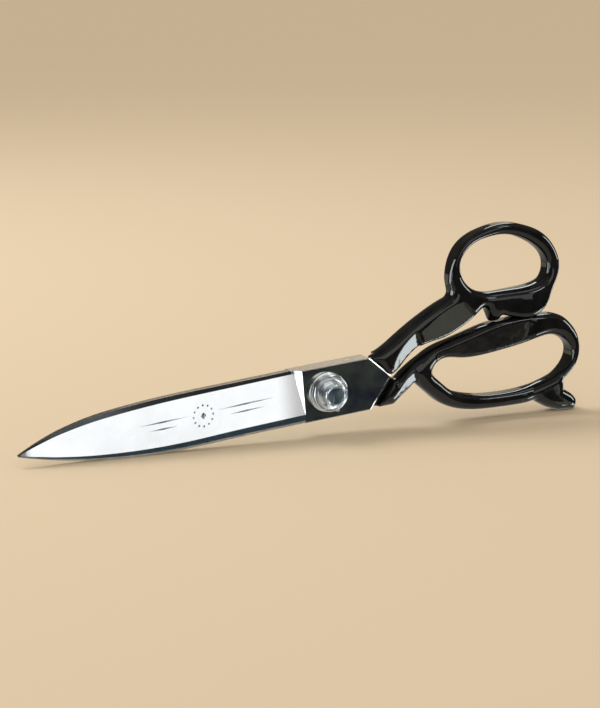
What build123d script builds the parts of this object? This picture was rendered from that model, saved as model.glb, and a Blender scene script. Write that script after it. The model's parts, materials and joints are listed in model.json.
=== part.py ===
from build123d import *
import os
from math import hypot

# Heavy bent-handled tailor's shears, closed, standing on the blades' belly and the tail of the finger bow.
# The blades point to -X, the handles to +X, the nut faces -Y, +Z is up and z = 0 is the surface stood on.
# All lengths are millimetres. In outlines, x is measured from the pivot's axis and y is the height.

# ---- driving dimensions -------------------------------------------------------------------------------
LENGTH_AHEAD = 169.0        # pivot axis to the points of the blades
LENGTH_BEHIND = 158.4       # pivot axis to the end of the tail
PIVOT_HEIGHT = 25.0         # pivot axis above the surface stood on
PLATE_T = 6.0               # thickness of each half at the joint
FACE_GAP = 0.05             # relief of each half from the plane where the halves meet
HANDLE_HALF_T = 6.7         # the enamelled handles stand proud of both joint plates
HANDLE_EDGE_R = 1.3         # rounding of the handles' long edges
TAIL_HALF_T = 4.6           # half width of the tail's foot
LUG_HALF_T = 4.0            # half width of the stop lug under the thumb ring

BOLT_R = 5.0                # round running part of the pivot bolt
BOLT_FIT = 0.04             # radial clearance of the bolt in the rear plate's bore
BOLT_FLATS = 7.6            # distance across the two flats that key the bolt into the front plate
THREAD_R = 4.8
HEAD_R = 10.0               # bolt head behind the rear plate
HEAD_T = 3.0
HEAD_EDGE = 1.0
NUT_R = 9.9
NUT_FLANGE_T = 4.0
NUT_DISH = 1.4              # depth of the hollow turned into the flange's face
NUT_RIM = 0.9               # width of the lip left round the hollow
COLLAR_R = 6.4
COLLAR_H = 6.0              # collar height above the flange's lip
COLLAR_EDGE = 0.7
BOLT_END_DISH = 0.8         # the bolt's end is turned to a shallow cone
WASHER_R = 10.7
WASHER_T = 1.3
WASHER_DISH = 0.3
KEEPER_R = 0.9              # pin that stops the nut from turning back
KEEPER_AT_R = 10.2          # its distance from the pivot's axis
KEEPER_ANGLE = -67.0        # degrees, 0 along +X and 90 up
KEEPER_DEPTH = 3.5          # how far it goes into the front plate
SLIP = 0.04                 # clearance between pieces put together by hand

TANG_T = 3.2                # blade steel let into each handle
TANG_SET_BACK = 1.4         # from the plane where the halves meet to the tang
SHOULDER_GAP = 4.0          # from each plate's free heel to the other handle's shoulder

# ---- frame --------------------------------------------------------------------------------------------
FLANGE_TOP = PLATE_T + WASHER_T + NUT_FLANGE_T
FRONT_REACH = FLANGE_TOP + COLLAR_H
BACK_REACH = PLATE_T + SLIP + HEAD_T
PIVOT_X = (LENGTH_AHEAD - LENGTH_BEHIND) / 2
MATING_Y = (FRONT_REACH - BACK_REACH) / 2


def side_plane(offset=0.0):
    """Side view from the front, offset towards the front from the plane where the halves meet."""
    return Plane(origin=(PIVOT_X, MATING_Y - offset, 0), x_dir=(1, 0, 0), z_dir=(0, -1, 0))


def pivot_plane(offset=0.0):
    """The same view centred on the pivot's axis."""
    return Plane(origin=(PIVOT_X, MATING_Y - offset, PIVOT_HEIGHT), x_dir=(1, 0, 0), z_dir=(0, -1, 0))


def section_plane(x):
    """Across the blades: the sketch's x is the distance towards the front and its y is the height."""
    return Plane(origin=(PIVOT_X + x, MATING_Y, 0), x_dir=(0, -1, 0), z_dir=(-1, 0, 0))


# Turned pieces are drawn as radius and distance towards the front, and revolved about the pivot's axis.
TURNING_PLANE = Plane(origin=(PIVOT_X, MATING_Y, PIVOT_HEIGHT), x_dir=(1, 0, 0), z_dir=(0, 0, 1))
PIVOT_AXIS = Axis((PIVOT_X, MATING_Y, PIVOT_HEIGHT), (0, -1, 0))

# ---- outlines -----------------------------------------------------------------------------------------
# Joint plates: five corners, the same for both halves. The apex points at the gap between the handles.
PLATE_TOP_LEFT = (-19.5, 37.0)
PLATE_TOP_RIGHT = (25.0, 41.2)
PLATE_APEX = (38.0, 30.5)
PLATE_LOW_RIGHT = (26.0, 12.6)
PLATE_LOW_LEFT = (-19.5, 8.1)
PLATE_EDGE = 0.5            # small chamfer round the plates' free edges

# The plunge is the slope between the plate's face and the ground face of the blade.
PLUNGE_AT_SPINE = -12.2
PLUNGE_AT_EDGE = -15.0
PLUNGE_RUN = 4.0
PLUNGE_DROP = 4.4
PLUNGE_LOW, PLUNGE_HIGH = 8.0, 38.0     # heights between which the plunge's line is drawn

# Blade stations: x, upper outline, lower outline, spine thickness, band along the spine, edge bevel.
BLADE_STATIONS = [
    (-11.0, 37.8, 8.9, 5.95, 3.2, 1.6),
    (-50.0, 33.6, 4.7, 5.6, 3.0, 2.2),
    (-80.0, 30.4, 1.4, 5.2, 2.6, 2.8),
    (-104.0, 27.2, 0.05, 4.8, 2.2, 3.2),
    (-128.0, 22.8, 0.4, 4.1, 1.6, 3.2),
    (-146.0, 17.4, 2.0, 3.3, 1.0, 2.6),
    (-158.0, 12.2, 3.7, 2.5, 0.7, 1.6),
    (-166.0, 8.0, 5.1, 1.7, 0.4, 0.6),
    (-LENGTH_AHEAD, 6.3, 5.7, 1.1, 0.08, 0.15),
]
STATION_STEPS = 3           # sections lofted for each interval between stations
SPINE_CHAMFER = 0.3         # share of the spine's thickness taken by its chamfer
BEVEL_BACK_T = 0.3          # share of the spine's thickness left where the edge bevel starts
EDGE_T = 0.08               # share left at the cutting edge

THUMB_SHANK_TOP = [PLATE_TOP_RIGHT, (35.0, 45.4), (43.6, 51.6), (60.6, 63.1), (76.2, 71.1)]
THUMB_RING = [(75.2, 87.4), (83.8, 101.0), (95.3, 106.9), (109.0, 109.5), (121.8, 107.5), (132.9, 102.6),
              (140.7, 94.1), (143.8, 84.0), (140.5, 71.9), (134.5, 62.0), (128.0, 57.5), (118.0, 56.9),
              (105.0, 59.4), (96.5, 63.6)]
THUMB_SHANK_LOW = [(81.2, 52.7), (68.7, 48.1), (57.4, 45.4), (47.8, 38.6), (43.4, 34.0), PLATE_APEX]
THUMB_HOLE = [(80.9, 86.5), (82.0, 93.2), (86.8, 98.4), (97.0, 102.3), (109.0, 103.2), (121.9, 99.4),
              (130.3, 94.1), (135.7, 86.4), (134.3, 78.0), (127.4, 74.2), (109.0, 71.9), (97.0, 71.5),
              (88.0, 74.8), (83.0, 80.5)]
CROTCH_R = 3.0              # rounding where the ring's outline meets the shank's
LUG = [(98.2, 63.5), (101.0, 54.6), (105.8, 55.3), (108.5, 62.0)]

FINGER_NOTCH = (41.9, 27.2)
FINGER_TOP = [(44.6, 28.7), (53.9, 36.5), (66.2, 43.3), (82.0, 48.7), (97.2, 53.1), (120.0, 55.9),
              (130.0, 56.5), (138.0, 56.8), (146.0, 55.2), (151.5, 51.3), (156.7, 43.7), (157.8, 34.5),
              (155.4, 27.2), (150.0, 19.8), (144.0, 12.6), (130.0, 7.3), (107.0, 5.9), (87.9, 6.2),
              (69.6, 11.9), (61.4, 18.5), (54.0, 24.7)]
FINGER_HEEL = (41.2, 13.6)
FINGER_HOLE = [(65.1, 31.5), (70.2, 36.3), (82.0, 35.9), (94.1, 36.1), (107.4, 38.1), (120.3, 40.6),
               (130.4, 43.1), (138.9, 44.6), (147.3, 42.0), (153.0, 35.5), (151.8, 27.6), (145.4, 22.3),
               (134.6, 17.9), (122.0, 14.7), (109.9, 13.5), (98.0, 13.5), (86.3, 15.0), (76.3, 18.3),
               (68.6, 24.6)]
TAIL = [(149.5, 18.0), (149.6, 12.4), (155.8, 8.6), (LENGTH_BEHIND, 5.0), (157.0, 0.0), (146.0, 0.0),
        (138.5, 2.6), (130.5, 7.0), (136.0, 11.5)]

THUMB_TANG = [(31.0, 36.2), (49.0, 48.2)]
FINGER_TANG = [(30.4, 19.2), (47.5, 25.8)]
TANG_ROOT_HALF_W = 3.2
TANG_END_HALF_W = 2.0
TANG_OVERLAP = 6.0          # how far the tang's bar reaches back into the plate, so that the two fuse
TANG_SLOT_GAP = 0.02        # clearance round the tang in the handle


def mirror_height(x, height):
    """The height's reflection in the long axis of the joint plates, at that x."""
    share = (x - PLATE_TOP_LEFT[0]) / (PLATE_TOP_RIGHT[0] - PLATE_TOP_LEFT[0])
    high = PLATE_TOP_LEFT[1] + share * (PLATE_TOP_RIGHT[1] - PLATE_TOP_LEFT[1])
    low = PLATE_LOW_LEFT[1] + share * (PLATE_LOW_RIGHT[1] - PLATE_LOW_LEFT[1])
    return high + low - height


def rounded_rows(rows, steps):
    """More rows between the given ones, on a curve that passes through them (Catmull-Rom)."""
    result = [rows[0]]
    for index in range(len(rows) - 1):
        before = rows[max(index - 1, 0)]
        start, end = rows[index], rows[index + 1]
        after = rows[min(index + 2, len(rows) - 1)]
        for step in range(1, steps + 1):
            t = step / steps
            row = []
            for a, b, c, d in zip(before, start, end, after):
                slope_b, slope_c = (c - a) / 2, (d - b) / 2
                bend = (3 * (c - b) - 2 * slope_b - slope_c) * t**2 + (2 * (b - c) + slope_b + slope_c) * t**3
                row.append(b + slope_b * t + bend)
            result.append(tuple(row))
    return result


# ---- tools shared by both halves ----------------------------------------------------------------------
# side is +1 for the front half and -1 for the rear half.
def blade_section(top, bottom, thick, band, bevel, side):
    """One cross-section of a blade: the front one has its spine down, the rear one has it up."""
    width = top - bottom
    chamfer_w = min(SPINE_CHAMFER * thick, 0.25 * width)
    outline = [
        (FACE_GAP, 0.0),
        (thick * (1 - SPINE_CHAMFER), 0.0),
        (thick, chamfer_w),
        (thick, min(chamfer_w + band, 0.5 * width)),
        (BEVEL_BACK_T * thick, width - bevel),
        (EDGE_T * thick + FACE_GAP, width),
        (FACE_GAP, width),
    ]
    if side > 0:
        return [(depth, bottom + rise) for depth, rise in outline]
    return [(-depth, top - rise) for depth, rise in outline]


def plunge_cutter(side):
    """The wedge in front of the plunge, which the plate's blade end is ground back by."""
    spine = (PLUNGE_AT_SPINE, PLUNGE_LOW)
    edge = (PLUNGE_AT_EDGE, PLUNGE_HIGH)
    if side < 0:
        spine = (spine[0], mirror_height(*spine))
        edge = (edge[0], mirror_height(*edge))
    run_x = edge[0] - spine[0]
    run_z = edge[1] - spine[1]
    origin = (PIVOT_X + spine[0] - run_x, MATING_Y, spine[1] - run_z)
    across = Plane(origin=origin, x_dir=(0, -side, 0), z_dir=(run_x, 0, run_z))
    with BuildPart() as cutter:
        with BuildSketch(across):
            Polygon(
                (PLATE_T, 0.0),
                (PLATE_T - PLUNGE_DROP, -PLUNGE_RUN),
                (PLATE_T - PLUNGE_DROP, -4 * PLUNGE_RUN),
                (2 * PLATE_T, -4 * PLUNGE_RUN),
                (2 * PLATE_T, 0.0),
                align=None,
            )
        extrude(amount=3 * hypot(run_x, run_z))
    return cutter.part


def tang_outline(root, end):
    length = hypot(end[0] - root[0], end[1] - root[1])
    along = ((end[0] - root[0]) / length, (end[1] - root[1]) / length)
    across = (-along[1], along[0])
    corners = []
    for point, half_w in ((root, TANG_ROOT_HALF_W), (end, TANG_END_HALF_W)):
        for sign in (1, -1):
            corners.append((point[0] + sign * half_w * across[0], point[1] + sign * half_w * across[1]))
    for index in (0, 1):
        x, height = corners[index]
        corners[index] = (x - TANG_OVERLAP * along[0], height - TANG_OVERLAP * along[1])
    return [corners[0], corners[1], corners[3], corners[2]]


def tang(root, end, side, grow=0.0):
    """The tang alone, for the blade; with grow, the slot for it in the handle."""
    near = side * (TANG_SET_BACK - grow)
    with BuildPart() as bar:
        with BuildSketch(side_plane(near)):
            Polygon(*tang_outline(root, end), align=None)
            if grow > 0:
                offset(amount=grow)
        extrude(amount=side * (TANG_T + 2 * grow))
    return bar.part


def half_plate(side):
    """A joint plate from the plane where the halves meet outwards, without its plunge."""
    outline = [PLATE_TOP_LEFT, PLATE_TOP_RIGHT, PLATE_APEX, PLATE_LOW_RIGHT, PLATE_LOW_LEFT]
    with BuildPart() as plate:
        with BuildSketch(side_plane(side * FACE_GAP)):
            Polygon(*outline, align=None)
        extrude(amount=side * (PLATE_T - FACE_GAP))
        outer_face = plate.faces().sort_by(Axis.Y)[0 if side > 0 else -1]
        chamfer(outer_face.edges().sort_by(Axis.X)[1:], length=PLATE_EDGE)
    return plate.part


def shoulder_cutter(first, second, side):
    """What a handle leaves free for the other half's plate to turn in, up to its shoulder."""
    length = hypot(second[0] - first[0], second[1] - first[1])
    across = ((first[1] - second[1]) / length, (second[0] - first[0]) / length)
    along = ((second[0] - first[0]) / length, (second[1] - first[1]) / length)
    reach = 2 * length
    corners = []
    for share, step in ((-1, SHOULDER_GAP), (1, SHOULDER_GAP), (1, -reach), (-1, -reach)):
        middle = first if share < 0 else second
        x = middle[0] + share * reach * along[0] + step * across[0]
        height = middle[1] + share * reach * along[1] + step * across[1]
        corners.append((x, height))
    with BuildPart() as cutter:
        with BuildSketch(side_plane(side * -FACE_GAP)):
            Polygon(*corners, align=None)
        extrude(amount=side * 3 * PLATE_T)
    return cutter.part


def long_edges(builder):
    """The edges of a handle's two flat faces, without those where it meets its joint plate."""
    flat_edges = builder.edges().group_by(Axis.Y)[0] + builder.edges().group_by(Axis.Y)[-1]
    reach = PIVOT_X + PLATE_APEX[0] + 1
    return flat_edges.filter_by(lambda edge: edge.center().X > reach)


# ---- front half ---------------------------------------------------------------------------------------
with BuildPart() as front_blade:
    add(half_plate(+1))
    add(plunge_cutter(+1), mode=Mode.SUBTRACT)
    for x, top, bottom, thick, band, bevel in rounded_rows(BLADE_STATIONS, STATION_STEPS):
        with BuildSketch(section_plane(x)):
            Polygon(*blade_section(top, bottom, thick, band, bevel, +1), align=None)
    loft(ruled=True)
    add(tang(*THUMB_TANG, side=+1))
    with BuildSketch(pivot_plane(0)) as key_hole:
        Circle(BOLT_R + SLIP)
        Rectangle(4 * BOLT_R, BOLT_FLATS + 2 * SLIP, mode=Mode.INTERSECT)
    extrude(amount=2 * PLATE_T, mode=Mode.SUBTRACT)
    with BuildSketch(pivot_plane(PLATE_T - KEEPER_DEPTH)) as keeper_hole:
        with PolarLocations(KEEPER_AT_R, 1, start_angle=KEEPER_ANGLE):
            Circle(KEEPER_R + SLIP)
    extrude(amount=PLATE_T, mode=Mode.SUBTRACT)

# ---- rear half ----------------------------------------------------------------------------------------
with BuildPart() as rear_blade:
    add(half_plate(-1))
    add(plunge_cutter(-1), mode=Mode.SUBTRACT)
    for x, top, bottom, thick, band, bevel in rounded_rows(BLADE_STATIONS, STATION_STEPS):
        with BuildSketch(section_plane(x)):
            Polygon(*blade_section(top, bottom, thick, band, bevel, -1), align=None)
    loft(ruled=True)
    add(tang(*FINGER_TANG, side=-1))
    with BuildSketch(pivot_plane(0)) as running_bore:
        Circle(BOLT_R + BOLT_FIT)
    extrude(amount=-2 * PLATE_T, mode=Mode.SUBTRACT)

# Each handle is one outline taken through both thicknesses, less the room for the other half's plate.
with BuildPart() as thumb_handle:
    with BuildSketch(side_plane(-HANDLE_HALF_T)) as thumb_outline:
        with BuildLine():
            shank_top = Spline(*THUMB_SHANK_TOP)
            ring = Spline(shank_top @ 1, *THUMB_RING)
            shank_low = Spline(ring @ 1, *THUMB_SHANK_LOW)
            Line(shank_low @ 1, shank_top @ 0)
        make_face()
        corners = thumb_outline.vertices().filter_by(lambda corner: corner.X > THUMB_SHANK_TOP[2][0])
        fillet(corners, radius=CROTCH_R)
        with BuildLine():
            Spline(*THUMB_HOLE, periodic=True)
        make_face(mode=Mode.SUBTRACT)
    extrude(amount=2 * HANDLE_HALF_T)
    fillet(long_edges(thumb_handle), radius=HANDLE_EDGE_R)
    with BuildSketch(side_plane(-LUG_HALF_T)):
        Polygon(*LUG, align=None)
    extrude(amount=2 * LUG_HALF_T)
    add(shoulder_cutter(PLATE_TOP_RIGHT, PLATE_APEX, -1), mode=Mode.SUBTRACT)
    add(tang(*THUMB_TANG, side=+1, grow=TANG_SLOT_GAP), mode=Mode.SUBTRACT)

with BuildPart() as finger_handle:
    with BuildSketch(side_plane(-HANDLE_HALF_T)) as finger_outline:
        with BuildLine():
            bow = Spline(*FINGER_TOP)
            Polyline(bow @ 1, FINGER_HEEL, PLATE_LOW_RIGHT, PLATE_APEX, FINGER_NOTCH, bow @ 0)
        make_face()
        with BuildLine():
            Spline(*FINGER_HOLE, periodic=True)
        make_face(mode=Mode.SUBTRACT)
    extrude(amount=2 * HANDLE_HALF_T)
    fillet(long_edges(finger_handle), radius=HANDLE_EDGE_R)
    with BuildSketch(side_plane(-TAIL_HALF_T)):
        Polygon(*TAIL, align=None)
    extrude(amount=2 * TAIL_HALF_T)
    add(shoulder_cutter(PLATE_APEX, PLATE_LOW_RIGHT, +1), mode=Mode.SUBTRACT)
    add(tang(*FINGER_TANG, side=-1, grow=TANG_SLOT_GAP), mode=Mode.SUBTRACT)

# ---- pivot --------------------------------------------------------------------------------------------
# The bolt's head bears on the rear plate, its round part turns in that plate, and its flats, washer, nut
# and keeper pin belong to the front half.
HEAD_FACE = -(PLATE_T + SLIP)
BOLT_END = FRONT_REACH - COLLAR_EDGE
with BuildPart() as pivot_bolt:
    with BuildSketch(TURNING_PLANE):
        Polygon(
            (0, -HEAD_FACE + HEAD_T),
            (HEAD_R - HEAD_EDGE, -HEAD_FACE + HEAD_T),
            (HEAD_R, -HEAD_FACE + HEAD_T - HEAD_EDGE),
            (HEAD_R, -HEAD_FACE),
            (BOLT_R, -HEAD_FACE),
            (BOLT_R, -PLATE_T),
            (THREAD_R, -PLATE_T),
            (THREAD_R, -BOLT_END),
            (0, -BOLT_END + BOLT_END_DISH),
            align=None,
        )
    revolve(axis=PIVOT_AXIS)
    with BuildSketch(pivot_plane(0)):
        Circle(2 * BOLT_R)
        Rectangle(4 * BOLT_R, BOLT_FLATS, mode=Mode.SUBTRACT)
    extrude(amount=PLATE_T, mode=Mode.SUBTRACT)

with BuildPart() as spring_washer:
    with BuildSketch(TURNING_PLANE):
        Polygon(
            (BOLT_R + SLIP, -PLATE_T - WASHER_DISH),
            (WASHER_R, -PLATE_T),
            (WASHER_R, -PLATE_T - WASHER_T + WASHER_DISH),
            (BOLT_R + SLIP, -PLATE_T - WASHER_T),
            align=None,
        )
    revolve(axis=PIVOT_AXIS)
    with BuildSketch(pivot_plane(PLATE_T - KEEPER_DEPTH)):
        with PolarLocations(KEEPER_AT_R, 1, start_angle=KEEPER_ANGLE):
            Circle(KEEPER_R + SLIP)
    extrude(amount=2 * PLATE_T, mode=Mode.SUBTRACT)

with BuildPart() as pivot_nut:
    with BuildSketch(TURNING_PLANE):
        Polygon(
            (THREAD_R + SLIP, -PLATE_T - WASHER_T),
            (NUT_R, -PLATE_T - WASHER_T),
            (NUT_R, -FLANGE_TOP),
            (NUT_R - NUT_RIM, -FLANGE_TOP),
            (COLLAR_R, -FLANGE_TOP + NUT_DISH),
            (COLLAR_R, -FRONT_REACH + COLLAR_EDGE),
            (COLLAR_R - COLLAR_EDGE, -FRONT_REACH),
            (THREAD_R + SLIP + COLLAR_EDGE / 2, -FRONT_REACH),
            (THREAD_R + SLIP, -BOLT_END),
            align=None,
        )
    revolve(axis=PIVOT_AXIS)
    with BuildSketch(pivot_plane(PLATE_T)):
        with PolarLocations(KEEPER_AT_R, 1, start_angle=KEEPER_ANGLE):
            Circle(KEEPER_R + SLIP)
    extrude(amount=2 * PLATE_T, mode=Mode.SUBTRACT)

with BuildPart() as keeper_pin:
    with BuildSketch(pivot_plane(PLATE_T - KEEPER_DEPTH)):
        with PolarLocations(KEEPER_AT_R, 1, start_angle=KEEPER_ANGLE):
            Circle(KEEPER_R)
    extrude(amount=FLANGE_TOP - PLATE_T + KEEPER_DEPTH)
    fillet(keeper_pin.faces().sort_by(Axis.Y)[0].edges(), radius=KEEPER_R / 2)

# ---- files --------------------------------------------------------------------------------------------
os.makedirs("parts", exist_ok=True)

front_blade.part.label = "front_blade"
rear_blade.part.label = "rear_blade"
thumb_handle.part.label = "thumb_handle"
finger_handle.part.label = "finger_handle"
pivot_bolt.part.label = "pivot_bolt"
spring_washer.part.label = "spring_washer"
pivot_nut.part.label = "pivot_nut"
keeper_pin.part.label = "keeper_pin"

for builder in (front_blade, rear_blade, thumb_handle, finger_handle, pivot_bolt, spring_washer, pivot_nut,
                keeper_pin):
    export_step(builder.part, f"parts/{builder.part.label}.step")
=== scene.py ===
import bmesh
import bpy
import json
import math
import numpy as np
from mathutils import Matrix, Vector

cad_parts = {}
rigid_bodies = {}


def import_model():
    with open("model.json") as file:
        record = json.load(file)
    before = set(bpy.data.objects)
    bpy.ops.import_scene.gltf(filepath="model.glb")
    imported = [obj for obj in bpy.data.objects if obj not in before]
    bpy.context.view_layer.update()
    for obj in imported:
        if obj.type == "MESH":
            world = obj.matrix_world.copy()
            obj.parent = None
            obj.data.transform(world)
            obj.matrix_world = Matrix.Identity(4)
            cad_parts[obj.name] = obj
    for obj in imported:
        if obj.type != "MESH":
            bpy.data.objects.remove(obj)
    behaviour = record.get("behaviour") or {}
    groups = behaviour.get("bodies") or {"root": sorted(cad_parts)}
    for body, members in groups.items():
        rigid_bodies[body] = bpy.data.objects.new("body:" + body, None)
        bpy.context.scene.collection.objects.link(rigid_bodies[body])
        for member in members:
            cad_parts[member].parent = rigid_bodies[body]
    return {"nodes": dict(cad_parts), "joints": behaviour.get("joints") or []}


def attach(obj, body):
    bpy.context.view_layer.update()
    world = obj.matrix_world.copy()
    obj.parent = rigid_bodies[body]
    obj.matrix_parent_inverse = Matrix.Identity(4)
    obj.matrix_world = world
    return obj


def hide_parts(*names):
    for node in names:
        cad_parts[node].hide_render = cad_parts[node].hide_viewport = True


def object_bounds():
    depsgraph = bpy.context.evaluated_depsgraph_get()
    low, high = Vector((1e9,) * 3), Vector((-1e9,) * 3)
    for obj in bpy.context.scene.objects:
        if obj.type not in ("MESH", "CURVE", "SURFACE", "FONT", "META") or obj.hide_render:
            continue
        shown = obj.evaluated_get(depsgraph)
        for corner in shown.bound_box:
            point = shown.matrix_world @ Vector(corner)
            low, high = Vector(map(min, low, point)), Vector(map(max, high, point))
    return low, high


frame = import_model()
cad_low, cad_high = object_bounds()

# Bent-handled tailor's shears. Lengths below are millimetres, measured from the pivot's axis along x, from
# the plane where the halves meet towards the back along y, and from the surface stood on along z.
MM = 0.001
HINGE = frame["joints"][0]
PIVOT = Vector(HINGE["pos_m"])
PIVOT_HEIGHT = PIVOT.z / MM
FRONT_BODY, REAR_BODY = HINGE["child"], HINGE["parent"]


def place(points):
    """Points in the shears' own millimetres, as metres in the row frame."""
    return np.asarray(points, float) * MM + np.array([PIVOT.x, PIVOT.y, 0.0])


def direction_at(azimuth, elevation):
    """A direction from degrees: azimuth from the front, positive towards the handles, and elevation."""
    a, e = math.radians(azimuth), math.radians(elevation)
    return (math.sin(a) * math.cos(e), -math.cos(a) * math.cos(e), math.sin(e))


# ---- materials ----------------------------------------------------------------------------------------
EVEN = (1000.0, 1000.0, 1000.0)     # noise in millimetres, the same along x, y and z
GRINDING_DEPTH = 0.00002            # metres
CLOUD_SCALE = 0.07
PLUNGE_SHADE_START, PLUNGE_SHADE_END = -29.0, -15.5     # x on the blade between which painted shade darkens the ground face towards the plunge
# the colour multiplied in as painted shade at the foot of the plunge
PLUNGE_SHADE_COLOR = (0.56, 0.54, 0.53)


def lines_along(stretch):
    return (stretch, *EVEN[1:])


def lines_across(stretch):
    return (*EVEN[:2], stretch)


def new_material(name, color, metallic, roughness):
    material = bpy.data.materials.new(name)
    material.use_nodes = True
    shader = material.node_tree.nodes["Principled BSDF"]
    shader.inputs["Base Color"].default_value = (*color, 1.0)
    shader.inputs["Metallic"].default_value = metallic
    shader.inputs["Roughness"].default_value = roughness
    material.diffuse_color = (*color, 1.0)
    return material, material.node_tree, shader


def object_coordinates(tree, scale=EVEN):
    coordinates = tree.nodes.new("ShaderNodeTexCoord")
    mapping = tree.nodes.new("ShaderNodeMapping")
    mapping.inputs["Scale"].default_value = scale
    tree.links.new(coordinates.outputs["Object"], mapping.inputs["Vector"])
    return mapping.outputs["Vector"]


def noise(tree, vector, scale, detail=3.0, roughness=0.5):
    node = tree.nodes.new("ShaderNodeTexNoise")
    node.inputs["Scale"].default_value = scale
    node.inputs["Detail"].default_value = detail
    node.inputs["Roughness"].default_value = roughness
    tree.links.new(vector, node.inputs["Vector"])
    return node.outputs["Fac"]


def ramp(tree, value, low, high, color_low, color_high):
    node = tree.nodes.new("ShaderNodeValToRGB")
    node.color_ramp.elements[0].position = low
    node.color_ramp.elements[1].position = high
    node.color_ramp.elements[0].color = (*color_low, 1.0)
    node.color_ramp.elements[1].color = (*color_high, 1.0)
    tree.links.new(value, node.inputs["Fac"])
    return node.outputs["Color"]


def spread(tree, value, low, high):
    """A value from 0 to 1, spread to low to high."""
    node = tree.nodes.new("ShaderNodeMapRange")
    node.inputs["To Min"].default_value = low
    node.inputs["To Max"].default_value = high
    tree.links.new(value, node.inputs["Value"])
    return node.outputs["Result"]


def smooth_step(tree, value, low, high):
    """0 below low, 1 above high, and smooth between them."""
    node = tree.nodes.new("ShaderNodeMapRange")
    node.interpolation_type = "SMOOTHSTEP"
    node.inputs["From Min"].default_value = low
    node.inputs["From Max"].default_value = high
    tree.links.new(value, node.inputs["Value"])
    return node.outputs["Result"]


def mixed(tree, factor, first, second, blend="MIX"):
    """Two colours, each a tuple or a socket, mixed by a factor. The colour sockets of a Mix node have no names
    of their own, so they are picked by number."""
    node = tree.nodes.new("ShaderNodeMix")
    node.data_type = "RGBA"
    node.blend_type = blend
    for socket, value in ((0, factor), (6, first), (7, second)):
        if isinstance(value, tuple):
            node.inputs[socket].default_value = (*value, 1.0)
        else:
            tree.links.new(value, node.inputs[socket])
    return node.outputs[2]


def bump(tree, shader, height, strength, distance):
    node = tree.nodes.new("ShaderNodeBump")
    node.inputs["Strength"].default_value = strength
    node.inputs["Distance"].default_value = distance
    tree.links.new(height, node.inputs["Height"])
    tree.links.new(node.outputs["Normal"], shader.inputs["Normal"])


def enamel_material():
    """Thick black stoving enamel: very glossy, faintly uneven, with a trace of dust and handling."""
    material, tree, shader = new_material("black_enamel", (0.006, 0.006, 0.007), 0.0, 0.05)
    vector = object_coordinates(tree)
    shader.inputs["IOR"].default_value = 1.5
    cloud = noise(tree, vector, 0.10, 4.0)
    tree.links.new(ramp(tree, cloud, 0.35, 0.75, (0.004, 0.004, 0.005), (0.012, 0.012, 0.012)),
                   shader.inputs["Base Color"])
    wipe = noise(tree, vector, 0.6, 5.0, 0.6)
    tree.links.new(spread(tree, wipe, 0.03, 0.09), shader.inputs["Roughness"])
    bump(tree, shader, noise(tree, vector, 0.16, 1.0), 0.12, 0.0006)
    return material


def steel_material(name, color_low, color_high, rough_low, rough_high, lines, line_scale, depth):
    """Polished steel with fine grinding lines, drawn out along the axis whose line_scale is small."""
    material, tree, shader = new_material(name, color_high, 1.0, rough_low)
    grain = noise(tree, object_coordinates(tree, line_scale), lines, 4.0, 0.65)
    cloud = noise(tree, object_coordinates(tree), CLOUD_SCALE, 3.0)
    tree.links.new(ramp(tree, cloud, 0.3, 0.7, color_low, color_high), shader.inputs["Base Color"])
    tree.links.new(spread(tree, grain, rough_low, rough_high), shader.inputs["Roughness"])
    bump(tree, shader, grain, depth, GRINDING_DEPTH)
    return material


def paint_shade_at_plunge(material):
    """Painted shade: the ground face's colour darkens over the last few millimetres towards the foot of the
    plunge.
    """
    tree = material.node_tree
    shader = tree.nodes["Principled BSDF"]
    place_on_blade = tree.nodes.new("ShaderNodeSeparateXYZ")
    tree.links.new(object_coordinates(tree), place_on_blade.inputs["Vector"])
    # painted shade: 0 away from the plunge, 1 at its foot
    plunge_shade = smooth_step(tree, place_on_blade.outputs["X"], PIVOT.x / MM + PLUNGE_SHADE_START, PIVOT.x / MM + PLUNGE_SHADE_END)
    polished = shader.inputs["Base Color"].links[0].from_socket
    tree.links.new(mixed(tree, plunge_shade, polished, PLUNGE_SHADE_COLOR, "MULTIPLY"), shader.inputs["Base Color"])


def turned_material(name, low, high, anisotropy):
    """Steel turned on a lathe: fine rings about the pivot's axis, which stretch highlights across them."""
    material, tree, shader = new_material(name, high, 1.0, 0.17)
    shader.inputs["Anisotropic"].default_value = anisotropy
    tangent = tree.nodes.new("ShaderNodeTangent")
    tangent.direction_type = "RADIAL"
    tangent.axis = "Y"
    tree.links.new(tangent.outputs["Tangent"], shader.inputs["Tangent"])
    wear = noise(tree, object_coordinates(tree), 0.5, 3.0)
    tree.links.new(ramp(tree, wear, 0.2, 0.8, low, high), shader.inputs["Base Color"])
    tree.links.new(spread(tree, noise(tree, object_coordinates(tree), 0.4, 2.0), 0.15, 0.19),
                   shader.inputs["Roughness"])
    return material


ENAMEL = enamel_material()
GROUND_STEEL = steel_material("ground_steel", (0.86, 0.865, 0.87), (0.93, 0.935, 0.94),
                              0.10, 0.2, 1.6, lines_across(60.0), 0.25)
# The plate's colour cloud, from dark blue to pale olive, is painted reflection: its patches stand in for what
# the mirror-polished plate reflects.
PLATE_STEEL = steel_material("plate_steel", (0.22, 0.23, 0.34), (0.74, 0.74, 0.54),
                             0.05, 0.12, 0.8, lines_along(150.0), 0.12)
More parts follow.
